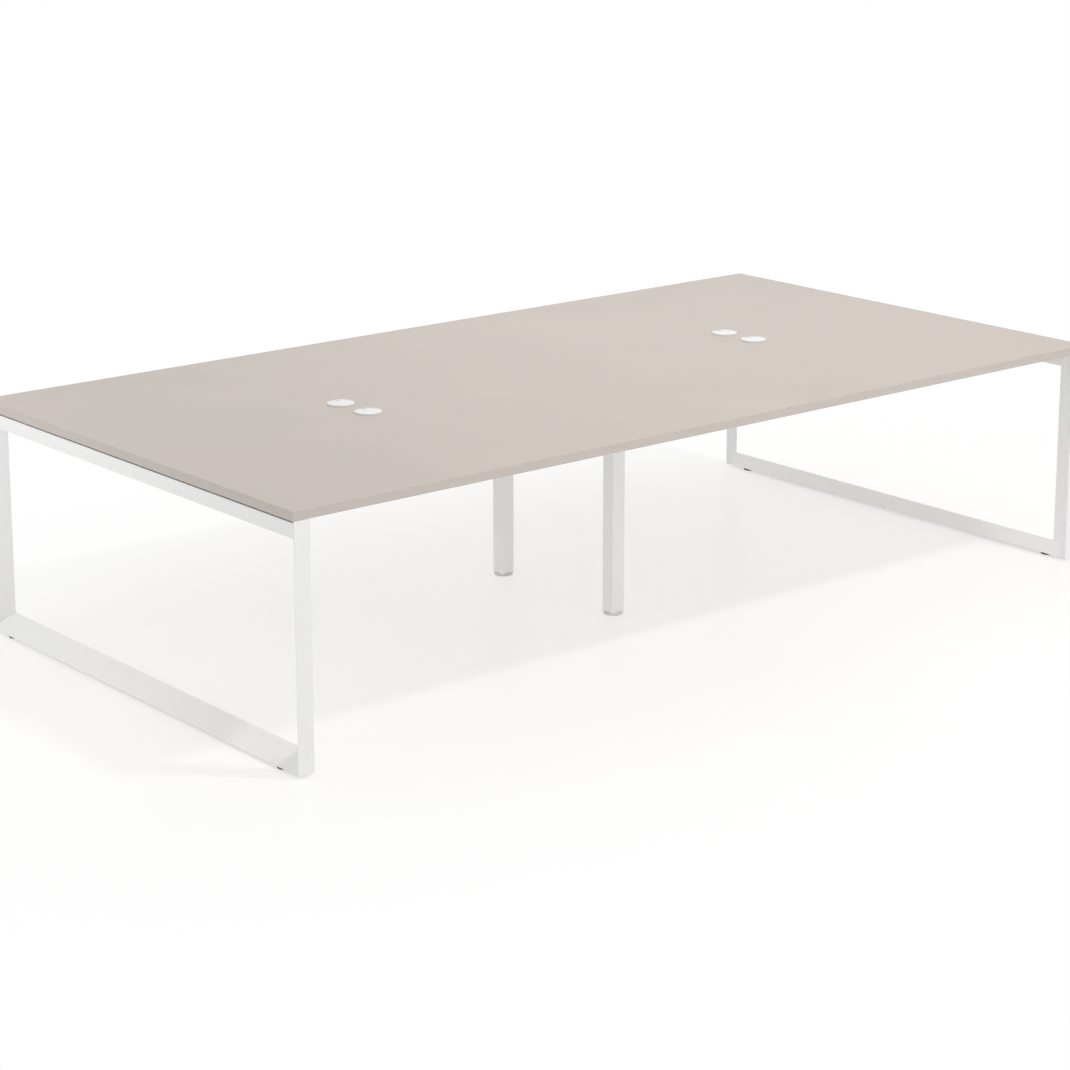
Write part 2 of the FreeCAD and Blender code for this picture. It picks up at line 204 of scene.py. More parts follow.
class Bench:
    """One node tree and the calls that fill it."""

    def __init__(self, tree: NodeTree) -> None:
        """Start from an empty tree."""
        self.tree = tree
        self.tree.nodes.clear()

    @staticmethod
    def _pick(sockets: Any, key: int | str) -> NodeSocket:
        """Find a socket by its index, identifier or name."""
        known = [socket for socket in sockets if socket.identifier == key]
        return known[0] if known else sockets[key]

    def node(self, kind: str, settings: Mapping[str, Any], sockets: Mapping[int | str, Any],
             output: int | str = 0) -> Wire:
        """Add any node.

        Args:
            kind: The node's type.
            settings: Its own settings, which are set first.
            sockets: Values or wires for its inputs.
            output: The output that is wanted.

        Returns:
            That output.
        """
        made = self.tree.nodes.new(kind)
        for name, value in settings.items():
            setattr(made, name, value)
        for key, value in sockets.items():
            socket = self._pick(made.inputs, key)
            if isinstance(value, Wire):
                self.tree.links.new(value.socket, socket)
            else:
                socket.default_value = value
        return Wire(self, self._pick(made.outputs, output) if made.outputs else None)

    def split(self, vector: Wire) -> tuple[Wire, Wire, Wire]:
        """The three parts of a vector."""
        parts = self.node("ShaderNodeSeparateXYZ", {}, {0: vector}).socket.node.outputs
        return Wire(self, parts[0]), Wire(self, parts[1]), Wire(self, parts[2])

    def calc(self, operation: str, *values: Any) -> Wire:
        """Add one Math node for values or wires."""
        return self.node("ShaderNodeMath", {"operation": operation}, dict(enumerate(values)))

    def length(self, vector: Wire) -> Wire:
        """Length of a vector."""
        return self.node("ShaderNodeVectorMath", {"operation": "LENGTH"}, {0: vector}, "Value")


class ShaderBench(Bench):
    """Node tree of a material or of the world."""

    def place(self) -> Wire:
        """Object coordinates, which are the table's own."""
        return self.node("ShaderNodeTexCoord", {}, {}, "Object")

    def noise(self, point: Wire, scale: float, detail: float) -> Wire:
        """Soft noise of about 0.3 to 0.7, with a scale in grains for each metre."""
        return self.node("ShaderNodeTexNoise", {}, {"Vector": point, "Scale": scale, "Detail": detail})

    def spread(self, value: Wire, low: float, high: float) -> Wire:
        """Stretch a value from a range to 0 to 1, and hold it there."""
        sockets = {"Value": value, "From Min": low, "From Max": high}
        return self.node("ShaderNodeMapRange", {"clamp": True}, sockets)

    def blend(self, share: Any, first: Any, second: Any) -> Wire:
        """Mix two colours by the share of the second."""
        sockets = {"Factor_Float": share, "A_Color": first, "B_Color": second}
        return self.node("ShaderNodeMix", {"data_type": "RGBA"}, sockets, "Result_Color")

    def relief(self, height: Wire, depth: float) -> Wire:
        """Normal of a bumpy surface whose height runs from 0 to 1 over the depth in metres."""
        return self.node("ShaderNodeBump", {}, {"Strength": 1.0, "Distance": depth, "Height": height})

    def glow(self, colour: Sequence[float]) -> Wire:
        """Plain light of a colour, where a colour of 1 is white."""
        return self.node("ShaderNodeEmission", {}, {"Color": colour, "Strength": 1.0})

    def mixed(self, share: Wire, first: Wire, second: Wire) -> Wire:
        """Two shaders mixed by the share of the second."""
        return self.node("ShaderNodeMixShader", {}, {0: share, 1: first, 2: second})

    def surface(self, sockets: Mapping[str, Any]) -> Wire:
        """The main shader with these sockets set."""
        return self.node("ShaderNodeBsdfPrincipled", {}, sockets)

    def close(self, shader: Wire, kind: str = "ShaderNodeOutputMaterial") -> None:
        """Join the shader to the output."""
        self.node(kind, {}, {"Surface": shader})


@dataclass(frozen=True)
class Finish:
    """Look of one kind of surface: two patterns that mix two tones, with gloss and relief."""

    name: str
    tone: Tone
    deep_tone: Tone
    roughness: float
    shine: float
    scales: Pair
    details: Pair = (1.0, 1.0)
    first_share: float = 0.5
    tone_range: Pair = (0.32, 0.68)
    gloss_pattern: int = 1
    gloss_swing: float = 0.2
    relief_depth: float = 0.01 * MM
    metallic: float = 0.0

    def patterns(self, bench: ShaderBench) -> list[Wire]:
        """Two patterns of noise, of which the first makes the relief."""
        point = bench.place()
        return [bench.noise(point, scale, detail) for scale, detail in zip(self.scales, self.details)]

    def tinted(self, bench: ShaderBench, colour: Wire) -> Wire:
        """The mixed colour, which a finish may change."""
        return colour

    def make(self) -> Material:
        """Make the material.

        Returns:
            The finish as a material.
        """
        material = bpy.data.materials.new(self.name)
        material.use_nodes = True
        material.diffuse_color = linear(self.tone)
        bench = ShaderBench(material.node_tree)
        patterns = self.patterns(bench)
        mix = patterns[0] * self.first_share + patterns[1] * (1 - self.first_share)
        share = bench.spread(mix, *self.tone_range)
        colour = bench.blend(share, linear(self.deep_tone), linear(self.tone))
        gloss = patterns[self.gloss_pattern] - PATTERN_MIDDLE
        bench.close(bench.surface({
            "Base Color": self.tinted(bench, colour),
            "Metallic": self.metallic,
            "Roughness": self.roughness + gloss * self.gloss_swing,
            "Specular IOR Level": self.shine,
            "Normal": bench.relief(patterns[0], self.relief_depth),
        }))
        return material


@dataclass(frozen=True)
class Laminate(Finish):
    """Matt melamine: fine pearl over slow clouding, and a dark glue line along the edge bands."""

    scales: Pair = (900.0, 2.2)
    details: Pair = (3.0, 3.0)
    first_share: float = 0.75
    tone_range: Pair = (0.3, 0.7)
    gloss_pattern: int = 0
    relief_depth: float = 0.012 * MM
    half_length: float = 1.598
    half_width: float = 0.823
    glue_width: float = 0.45 * MM
    glue_share: float = 0.6
    glue_tone: Tone = (150, 140, 131)

    def tinted(self, bench: ShaderBench, colour: Wire) -> Wire:
        """Add the glue line.

        Args:
            bench: The material's node tree.
            colour: The mixed colour.

        Returns:
            The colour with the line.
        """
        x, y, _ = bench.split(bench.place())
        inset = bench.calc("MINIMUM", self.half_length - abs(x), self.half_width - abs(y))
        glue = bench.spread(inset, self.glue_width, 0.0) * self.glue_share
        return bench.blend(glue, colour, linear(self.glue_tone))


@dataclass(frozen=True)
class EdgeBand(Finish):
    """Extruded edge band with faint level lines along its length, over a fine grain."""

    scales: Pair = (1.0, 1800.0)
    details: Pair = (2.0, 1.0)
    stretch: Point = (9.0, 9.0, 1400.0)
    first_share: float = 0.6
    gloss_pattern: int = 0
    gloss_swing: float = 0.25
    relief_depth: float = 0.012 * MM

    def patterns(self, bench: ShaderBench) -> list[Wire]:
        """Lines that run level all round the table, and the grain."""
        drawn = bench.node("ShaderNodeMapping", {}, {"Vector": bench.place(), "Scale": self.stretch})
        return [bench.noise(*row) for row in zip((drawn, bench.place()), self.scales, self.details)]


@dataclass(frozen=True)
class PowderCoat(Finish):
    """Satin powder coat: orange-peel skin with fine specks in its gloss."""

    scales: Pair = (380.0, 2600.0)
    tone_range: Pair = (0.35, 0.65)
    relief_depth: float = 0.035 * MM


@dataclass(frozen=True)
class MouldedPlastic(Finish):
    """Moulded plastic: fine spark-eroded skin with slow flow marks."""

    scales: Pair = (2400.0, 45.0)
    details: Pair = (2.0, 1.0)
    first_share: float = 0.6
    gloss_swing: float = 0.15


@dataclass(frozen=True)
class ZincPlate(Finish):
    """Bright zinc plating: fine spangle in the tone, haze in the gloss."""

    scales: Pair = (900.0, 160.0)
    details: Pair = (0.0, 3.0)
    tone_range: Pair = (0.3, 0.75)
    gloss_swing: float = 0.3
    relief_depth: float = 0.008 * MM
    metallic: float = 1.0

    def patterns(self, bench: ShaderBench) -> list[Wire]:
        """Spangle and haze."""
        spangle = bench.node("ShaderNodeTexVoronoi", {}, {"Vector": bench.place(), "Scale": self.scales[0]})
        return [spangle, bench.noise(bench.place(), self.scales[1], self.details[1])]


class FinishShelf:
    """The table's materials by slot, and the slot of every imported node."""

    def __init__(self) -> None:
        """Make each finish once."""
        finishes = {
            Slot.TAUPE_LAMINATE:
                Laminate("matt_taupe_laminate", (197, 188, 180), (187, 178, 171), 0.45, 0.25),
            Slot.TAUPE_EDGE:
                EdgeBand("taupe_edge_band", (203, 194, 187), (191, 183, 176), 0.42, 0.3),
            Slot.WHITE_STEEL:
                PowderCoat("white_powder_coat", (243, 243, 242), (238, 238, 237), 0.36, 0.5),
            Slot.WHITE_PLASTIC:
                MouldedPlastic("white_moulded_plastic", (233, 232, 232), (227, 226, 226), 0.4, 0.35),
            Slot.BLACK_PLASTIC:
                MouldedPlastic("black_moulded_plastic", (44, 44, 45), (30, 30, 31), 0.55, 0.4),
            Slot.GREY_PLASTIC:
                MouldedPlastic("grey_moulded_plastic", (240, 240, 238), (232, 232, 230), 0.45, 0.4),
            Slot.ZINC_STEEL:
                ZincPlate("zinc_plated_steel", (206, 209, 212), (170, 174, 179), 0.32, 0.5),
        }
        self.materials = {slot: finish.make() for slot, finish in finishes.items()}
        self.slot_of = {row["node"]: Slot(row["material_slot"]) for row in frame["record"]["subparts"]}

    def dress(self, node: str) -> None:
        """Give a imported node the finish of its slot.

        Args:
            node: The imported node.
        """
        shown = frame["nodes"][node]
        material = self.materials[self.slot_of[node]]
        if not shown.material_slots:
            shown.data.materials.append(material)
        for holder in shown.material_slots:
            holder.material = material
        LOG.info("node %s: %s", node, material.name)


class GeometryBench(Bench):
    """Geometry node tree with named sizes."""

    def __init__(self, name: str, labels: Sequence[str], kind: str = "NodeSocketFloat") -> None:
        """Start a tree.

        Args:
            name: The tree's name.
            labels: Names of its inputs, after the start geometry.
            kind: Socket type of these inputs.
        """
        super().__init__(bpy.data.node_groups.new(name, "GeometryNodeTree"))
        face = self.tree.interface
        face.new_socket("Geometry", in_out="INPUT", socket_type="NodeSocketGeometry")
        for label in labels:
            face.new_socket(label, in_out="INPUT", socket_type=kind)
        face.new_socket("Finish", in_out="INPUT", socket_type="NodeSocketMaterial")
        face.new_socket("Geometry", in_out="OUTPUT", socket_type="NodeSocketGeometry")
        self.entry = self.tree.nodes.new("NodeGroupInput")

    def size(self, label: str) -> Wire:
        """A named input of the tree."""
        return Wire(self, self.entry.outputs[label])

    def axis_frame(self) -> tuple[Wire, Wire, Wire, Wire]:
        """Where each point lies about the Z axis.

        Returns:
            Distance from the axis, angle round it, height, and the outward vector.
        """
        point = self.node("GeometryNodeInputPosition", {}, {})
        x, y, z = self.split(point)
        flat = self.node("ShaderNodeCombineXYZ", {}, {0: x, 1: y})
        outward = self.node("ShaderNodeVectorMath", {"operation": "NORMALIZE"}, {0: flat})
        return self.length(flat), self.calc("ARCTAN2", y, x), z, outward

    def pushed(self, geometry: Wire, outward: Wire, distance: Wire) -> Wire:
        """Geometry with each point pushed outwards by a distance."""
        move = self.node("ShaderNodeVectorMath", {"operation": "SCALE"}, {0: outward, "Scale": distance})
        return self.node("GeometryNodeSetPosition", {}, {"Geometry": geometry, "Offset": move})

    def close(self, geometry: Wire) -> GeometryNodeTree:
        """Realize, set the finish and join the output.

        Args:
            geometry: What the tree has made.

        Returns:
            The finished tree.
        """
        plain = self.node("GeometryNodeRealizeInstances", {}, {"Geometry": geometry})
        sockets = {"Geometry": plain, "Material": self.size("Finish")}
        self.node("NodeGroupOutput", {}, {0: self.node("GeometryNodeSetMaterial", {}, sockets)})
        return self.tree


def repeat_tree() -> GeometryNodeTree:
    """Tree that sets a pattern piece on every point, turned by the point's own turn.

    Returns:
        The tree.
    """
    bench = GeometryBench("repeat_on_points", ("Pattern",), "NodeSocketObject")
    pattern = bench.node("GeometryNodeObjectInfo", {}, {"Object": bench.size("Pattern")}, "Geometry")
    turn = bench.node("GeometryNodeInputNamedAttribute", {"data_type": "FLOAT_VECTOR"}, {"Name": "turn"})
    rotation = bench.node("FunctionNodeEulerToRotation", {}, {0: turn})
    sockets = {"Points": bench.size("Geometry"), "Instance": pattern, "Rotation": rotation}
    return bench.close(bench.node("GeometryNodeInstanceOnPoints", {}, sockets))


def thread_tree() -> GeometryNodeTree:
    """Tree that makes a threaded rod from the origin up the Z axis.

    Returns:
        The tree.
    """
    bench = GeometryBench("threaded_rod", ("Radius", "Thread Depth", "Pitch", "Length"))
    rod_length = bench.size("Length")
    pitch = bench.size("Pitch")
    rod = bench.node("GeometryNodeMeshCylinder", {"fill_type": "NGON"}, {
        "Vertices": THREAD_SIDES, "Side Segments": rod_length / pitch * RINGS_PER_TURN,
        "Radius": bench.size("Radius"), "Depth": rod_length})
    _, angle, height, outward = bench.axis_frame()
    part = bench.calc("FRACT", height / pitch - angle / TAU)
    valley = abs(part * 2.0 - 1.0)
    cut = bench.pushed(rod, outward, valley * bench.size("Thread Depth") * -1.0)
    lift = bench.node("ShaderNodeCombineXYZ", {}, {2: rod_length * 0.5})
    return bench.close(bench.node("GeometryNodeSetPosition", {}, {"Geometry": cut, "Offset": lift}))


def grip_tree() -> GeometryNodeTree:
    """Tree that cuts even grip flutes into the rim of a turned piece.

    Returns:
        The tree.
    """
    bench = GeometryBench("grip_flutes", ("Flutes", "Flute Depth", "Rim Radius"))
    reach, angle, _, outward = bench.axis_frame()
    wave = bench.calc("COSINE", angle * bench.size("Flutes"))
    on_rim = bench.calc("GREATER_THAN", reach, bench.size("Rim Radius"))
    depth = (0.5 - wave * 0.5) * on_rim * bench.size("Flute Depth")
    return bench.close(bench.pushed(bench.size("Geometry"), outward, depth * -1.0))


def weld_tree() -> GeometryNodeTree:
    """Tree that lays a rippled weld bead along every run of edges.

    Returns:
        The tree.
    """
    bench = GeometryBench("weld_bead", ("Bead Radius", "Ripple", "Ripple Length"))
    path = bench.node("GeometryNodeMeshToCurve", {}, {"Mesh": bench.size("Geometry")})
    step = bench.size("Ripple Length") / POINTS_PER_RIPPLE
    fine = bench.node("GeometryNodeResampleCurve", {"mode": "LENGTH"}, {"Curve": path, "Length": step})
    ring = bench.node("GeometryNodeCurvePrimitiveCircle", {"mode": "RADIUS"},
                      {"Resolution": BEAD_SIDES, "Radius": bench.size("Bead Radius")})
    bead = bench.node("GeometryNodeCurveToMesh", {},
                      {"Curve": fine, "Profile Curve": ring, "Fill Caps": True})
    x, y, z = bench.split(bench.node("GeometryNodeInputPosition", {}, {}))
    phase = (x + y + z) * TAU / bench.size("Ripple Length")
    normal = bench.node("GeometryNodeInputNormal", {}, {})
    return bench.close(bench.pushed(bead, normal, bench.calc("SINE", phase) * bench.size("Ripple")))


class Forms:
    """Meshes that several sub-assemblies use."""

    def __init__(self, shelf: FinishShelf) -> None:
        """Build the node trees once.

        Args:
            shelf: The finishes that pieces take.
        """
        self.shelf = shelf
        self.repeat = repeat_tree()
        self.thread = thread_tree()
        self.grip = grip_tree()
        self.weld = weld_tree()

    @staticmethod
    def plain(name: str, work: bmesh.types.BMesh) -> Mesh:
        """Make a mesh from an edit mesh, which is freed.

        Args:
            name: The mesh's name.
            work: The edit mesh.

        Returns:
            The mesh.
        """
        mesh = bpy.data.meshes.new(name)
        work.to_mesh(mesh)
        work.free()
        return mesh

    @staticmethod
    def evaluated(start: Mesh, kind: str, settings: Mapping[str, Any],
                  inputs: Mapping[str, Any] | None = None) -> Mesh:
        """Mesh with one modifier worked in.

        Args:
            start: The mesh to start from.
            kind: The modifier's type.
            settings: Its own settings.
            inputs: Inputs of its node tree, by identifier.

        Returns:
            A new plain mesh.
        """
        holder = in_scene("work", start)
        modifier = holder.modifiers.new("work", kind)
        for name, value in settings.items():
            setattr(modifier, name, value)
        for identifier, value in (inputs or {}).items():
            modifier[identifier] = value
        graph = bpy.context.evaluated_depsgraph_get()
        made = bpy.data.meshes.new_from_object(holder.evaluated_get(graph), depsgraph=graph)
        bpy.data.objects.remove(holder)
        return made

    def grown(self, start: Mesh, tree: GeometryNodeTree, sizes: Mapping[str, Any]) -> Mesh:
        """Mesh that a tree makes.

        Args:
            start: The geometry that the tree starts from.
            tree: The tree.
            sizes: Its named inputs.

        Returns:
            A new plain mesh.
        """
        sockets = [item for item in tree.interface.items_tree if item.item_type == "SOCKET"]
        inputs = {item.identifier: sizes[item.name] for item in sockets
                  if item.in_out == "INPUT" and item.name in sizes}
        return self.evaluated(start, "NODES", {"node_group": tree}, inputs)

    def turned(self, outline: Outline, steps: int, ring: bool = False,
               limit: Callable[[float], float] | None = None) -> Mesh:
        """Turned solid about the Z axis.

        Args:
            outline: Points of (radius, height), from axis to axis or round a ring.
            steps: Faces round the axis.
            ring: Whether the outline closes on itself.
            limit: Greatest radius at an angle, for pieces that are not round.

        Returns:
            The mesh.
        """
        work = bmesh.new()
        rows = []
        for radius, height in outline:
            if radius == 0:
                rows.append([work.verts.new((0, 0, height))])
                continue
            row = []
            for k in range(steps):
                angle = TAU * k / steps
                reach = min(radius, limit(angle)) if limit else radius
                row.append(work.verts.new((reach * math.cos(angle), reach * math.sin(angle), height)))
            rows.append(row)
        pairs = list(zip(rows, rows[1:])) + ([(rows[-1], rows[0])] if ring else [])
        for low, high in pairs:
            for k in range(steps):
                n = k + 1
                corners = (low[k % len(low)], low[n % len(low)], high[n % len(high)], high[k % len(high)])
                corners = tuple(dict.fromkeys(corners))
                if len(corners) > 2:
                    work.faces.new(corners)
        bmesh.ops.recalc_face_normals(work, faces=work.faces)
        return self.plain("turned", work)

    def softened(self, node: str, width: float) -> Mesh:
        """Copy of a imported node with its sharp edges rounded.

        Args:
            node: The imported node.
            width: Width of the rounding.

        Returns:
            The rounded mesh.
        """
        source = frame["nodes"][node].data
        work = bmesh.new()
        corners = [work.verts.new(vertex.co) for vertex in source.vertices]
        for face in source.polygons:
            work.faces.new([corners[i] for i in face.vertices])
        bmesh.ops.remove_doubles(work, verts=work.verts, dist=MERGE_DISTANCE)
        bmesh.ops.dissolve_limit(work, angle_limit=FLAT_ANGLE, verts=work.verts, edges=work.edges)
        settings = {"width": width, "segments": ROUNDING_STEPS, "limit_method": "ANGLE",
                    "angle_limit": SHARP_ANGLE}
        return self.evaluated(self.plain(node, work), "BEVEL", settings)

    def joined(self, meshes: Iterable[Mesh]) -> Mesh:
        """Join meshes.

        Args:
            meshes: The meshes.

        Returns:
            One mesh with all of them.
        """
        work = bmesh.new()
        for mesh in meshes:
            work.from_mesh(mesh)
        return self.plain("joined", work)

    def moved(self, mesh: Mesh, place: Point) -> Mesh:
        """The mesh shifted to a place."""
        mesh.transform(Matrix.Translation(place))
        return mesh

    def threaded_rod(self, thread: Thread, length: float) -> Mesh:
        """Threaded rod of a length from the origin up the Z axis."""
        sizes = {"Radius": thread.radius, "Thread Depth": thread.depth, "Pitch": thread.pitch}
        return self.grown(bpy.data.meshes.new("start"), self.thread, sizes | {"Length": length})

    def welded(self, points: Sequence[Point], edges: Sequence[tuple[int, int]]) -> Mesh:
        """Weld beads along runs of edges.

        Args:
            points: The points of the runs.
            edges: Pairs of points that a bead joins.

        Returns:
            The beads as one mesh.
        """
        path = bpy.data.meshes.new("weld_path")
        path.from_pydata(points, edges, [])
        sizes = {"Bead Radius": BEAD_RADIUS, "Ripple": BEAD_RIPPLE, "Ripple Length": RIPPLE_LENGTH}
        return self.grown(path, self.weld, sizes)

    def repeated(self, pattern: Mesh, places: Sequence[Place]) -> Mesh:
        """Pattern set on every place.

        Args:
            pattern: One piece, pointing up from the origin.
            places: Where each one stands and which way it points.

        Returns:
            All of them as one mesh.
        """
        holder = in_scene("pattern", pattern)
        points = bpy.data.meshes.new("points")
        points.from_pydata([place for place, _ in places], [], [])
        turns = points.attributes.new("turn", "FLOAT_VECTOR", "POINT")
        for row, (_, direction) in zip(turns.data, places):
            row.vector = direction.value
        made = self.grown(points, self.repeat, {"Pattern": holder})
        bpy.data.objects.remove(holder)
        return made

    def piece(self, name: str, mesh: Mesh, slot: Slot, body: str, *nodes: str) -> None:
        """Finish a piece and tie it to its body.

        Args:
            name: The piece's name.
            mesh: Its mesh, in place.
            slot: The material slot that it takes its finish from.
            body: The body that it rides on.
            nodes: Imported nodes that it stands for.
        """
        mesh.name = name
        mesh.shade_smooth()
        mesh.set_sharp_from_angle(angle=SHARP_ANGLE)
        mesh.materials.clear()
        mesh.materials.append(self.shelf.materials[slot])
        made = in_scene(name, mesh)
        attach(made, body)
        if nodes:
            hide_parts(*nodes)
        LOG.info("piece %s on %s: %d faces", name, body, len(mesh.polygons))

    def softened_piece(self, node: str, width: float, body: str = TABLE_BODY) -> None:
        """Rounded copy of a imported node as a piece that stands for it."""
        self.piece(node + "_rounded", self.softened(node, width), self.shelf.slot_of[node], body, node)


def polygon_limit(sides: int, across: float) -> Callable[[float], float]:
    """Greatest radius at an angle of an even polygon, with a flat side towards +X."""
    half = math.pi / sides
    return lambda angle: across / 2 / math.cos((angle + half) % (2 * half) - half)


@dataclass
class SubAssembly:
    """Pieces that are made and dressed together, and places that several groups share."""

    forms: Forms
    beam_row: float = 0.275
    outer_plate: float = 1.540
    inner_plate: float = 0.035
    leg_head: float = 0.667
    kept_nodes: Names = ()

    def build(self) -> None:
        """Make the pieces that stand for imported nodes."""

    def dress(self) -> None:
        """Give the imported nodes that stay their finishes."""
        for node in self.kept_nodes:
            self.forms.shelf.dress(node)


@dataclass
class TableTop(SubAssembly):
    """Two boards with laminate on them and bands on their edges."""

    kept_nodes: Names = ("left_board", "right_board", "left_end_band", "right_end_band",
                         "left_front_band", "left_rear_band", "right_front_band", "right_rear_band")


@dataclass
class EndFrames(SubAssembly):
    """Two powder-coated loops of triangular tube with a box rail on top."""

    kept_nodes: Names = ("left_front_leg", "left_rear_leg", "left_bottom_rail", "left_top_rail",
                         "right_front_leg", "right_rear_leg", "right_bottom_rail", "right_top_rail")


@dataclass
class UnderFrame(SubAssembly):
    """Beams, cross beam and their plates."""

    edge_rounding: float = 0.8 * MM
    beam_half_width: float = 0.020
    weld_low: float = 0.6725
    weld_high: float = 0.7075
    beams: Names = ("left_front_beam", "left_rear_beam", "right_front_beam", "right_rear_beam")

    def build(self) -> None:
        """Rounded copies of the tubes and plates, and the welds between them."""
        for node in self.beams + ("beam_end_plates", "cross_beam", "cross_beam_caps"):
            self.forms.softened_piece(node, self.edge_rounding)
        self.forms.piece("beam_welds", self._welds(), Slot.WHITE_STEEL, TABLE_BODY)

    def _welds(self) -> Mesh:
        """Upright beads where each beam meets its end plates.

        Returns:
            The beads.
        """
        planes = both(self.outer_plate) + both(self.inner_plate)
        sides = [row + side for row in both(self.beam_row) for side in both(self.beam_half_width)]
        levels = (self.weld_low, self.weld_high)
        points = [(x, y, z) for x in planes for y in sides for z in levels]
        return self.forms.welded(points, [(k, k + 1) for k in range(0, len(points), 2)])


@dataclass
class CentreLegs(SubAssembly):
    """Two square legs with head plates above and bushes below."""

    kept_nodes: Names = ("centre_front_leg", "centre_rear_leg")
    side: float = 0.050
    plate_rounding: float = 1.0 * MM
    corner_radius: float = 0.004
    corner_steps: int = 4
    bush_side: float = 0.0457
    bush_low: float = 0.008
    bush_high: float = 0.033
    bush_bore: float = 3.75 * MM
    bush_edge: float = 0.6 * MM
    bush_steps: int = 64

    def build(self) -> None:
        """Rounded head plates, their welds and the bushes."""
        for name, sign in (("centre_front", -1), ("centre_rear", 1)):
            self.forms.softened_piece(name + "_head_plate", self.plate_rounding)
            bush = self.forms.moved(self._bush(), (0, sign * self.beam_row, 0))
            node = name + "_foot_bush"
            self.forms.piece(node + "_bored", bush, Slot.BLACK_PLASTIC, TABLE_BODY, node)
        self.forms.piece("head_plate_welds", self._welds(), Slot.WHITE_STEEL, TABLE_BODY)

    def _bush(self) -> Mesh:
        """Square bush with a round bore and eased ends.

        Returns:
            The bush on the Z axis.
        """
        side = self.bush_side
        bore = self.bush_bore
        edge = self.bush_edge
        low = self.bush_low
        high = self.bush_high
        outline = [(bore, low + edge), (bore + edge, low), (side / 2 - edge, low), (side, low + edge),
                   (side, high - edge), (side / 2 - edge, high), (bore + edge, high), (bore, high - edge)]
        return self.forms.turned(outline, self.bush_steps, True, polygon_limit(4, side))

    def _welds(self) -> Mesh:
        """Bead round the head of each leg.

        Returns:
            The beads.
        """
        points: list[Point] = []
        edges: list[tuple[int, int]] = []
        straight = self.side / 2 - self.corner_radius
        for row in both(self.beam_row):
            first = len(points)
            for corner in range(4):
                middle = math.pi / 4 + corner * math.pi / 2
                cx = math.copysign(straight, math.cos(middle))
                cy = math.copysign(straight, math.sin(middle)) + row
                for k in range(self.corner_steps + 1):
                    angle = middle + (k / self.corner_steps - 0.5) * math.pi / 2
                    points.append((cx + self.corner_radius * math.cos(angle),
                                   cy + self.corner_radius * math.sin(angle), self.leg_head))
            count = len(points) - first
            edges += [(first + k, first + (k + 1) % count) for k in range(count)]
        return self.forms.welded(points, edges)


@dataclass
class LevellingFeet(SubAssembly):
    """Six round pads on threaded studs."""

    names: Names = ("left_front", "left_rear", "right_front", "right_rear", "centre_front", "centre_rear")
    rim_outline: Outline = ((2.5, 0.0), (1.4, 0.3), (0.0, 1.7), (0.0, 6.4), (0.4, 7.0), (1.4, 7.3))
    boss_outline: Outline = ((13.0, 7.3), (10.5, 7.6), (9.5, 7.7), (0, 7.7))
    pad_steps: int = 216
    flutes: float = 36.0
    flute_depth: float = 0.7 * MM
    rim_depth: float = 1.2 * MM
    stud_base: float = 7.7 * MM
    stud_length: float = 18.3 * MM

    def build(self) -> None:
        """Fluted pad and threaded stud for each foot."""
        for name in self.names:
            low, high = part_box(name + "_foot_pad")
            middle = (low + high) / 2
            body = name + "_foot"
            slot = self.forms.shelf.slot_of[name + "_foot_pad"]
            pad = self.forms.moved(self._pad(high.y - middle.y), (middle.x, middle.y, 0))
            self.forms.piece(name + "_pad", pad, slot, body, name + "_foot_pad")
            rod = self.forms.threaded_rod(BOLT_THREAD, self.stud_length)
            stud = self.forms.moved(rod, (middle.x, middle.y, self.stud_base))
            self.forms.piece(name + "_stud", stud, Slot.ZINC_STEEL, body, name + "_foot_stud")

    def _pad(self, radius: float) -> Mesh:
        """Turned pad with grip flutes round its rim.

        Args:
            radius: Greatest radius of the pad.

        Returns:
            The pad, standing at the origin.
        """
        outline = [(0, 0)] + [(radius - inset * MM, height * MM) for inset, height in self.rim_outline]
        outline += [(reach * MM, height * MM) for reach, height in self.boss_outline]
        turned = self.forms.turned(outline, self.pad_steps)
        rim = radius - self.rim_depth
        sizes = {"Flutes": self.flutes, "Flute Depth": self.flute_depth, "Rim Radius": rim}
        return self.forms.grown(turned, self.forms.grip, sizes)


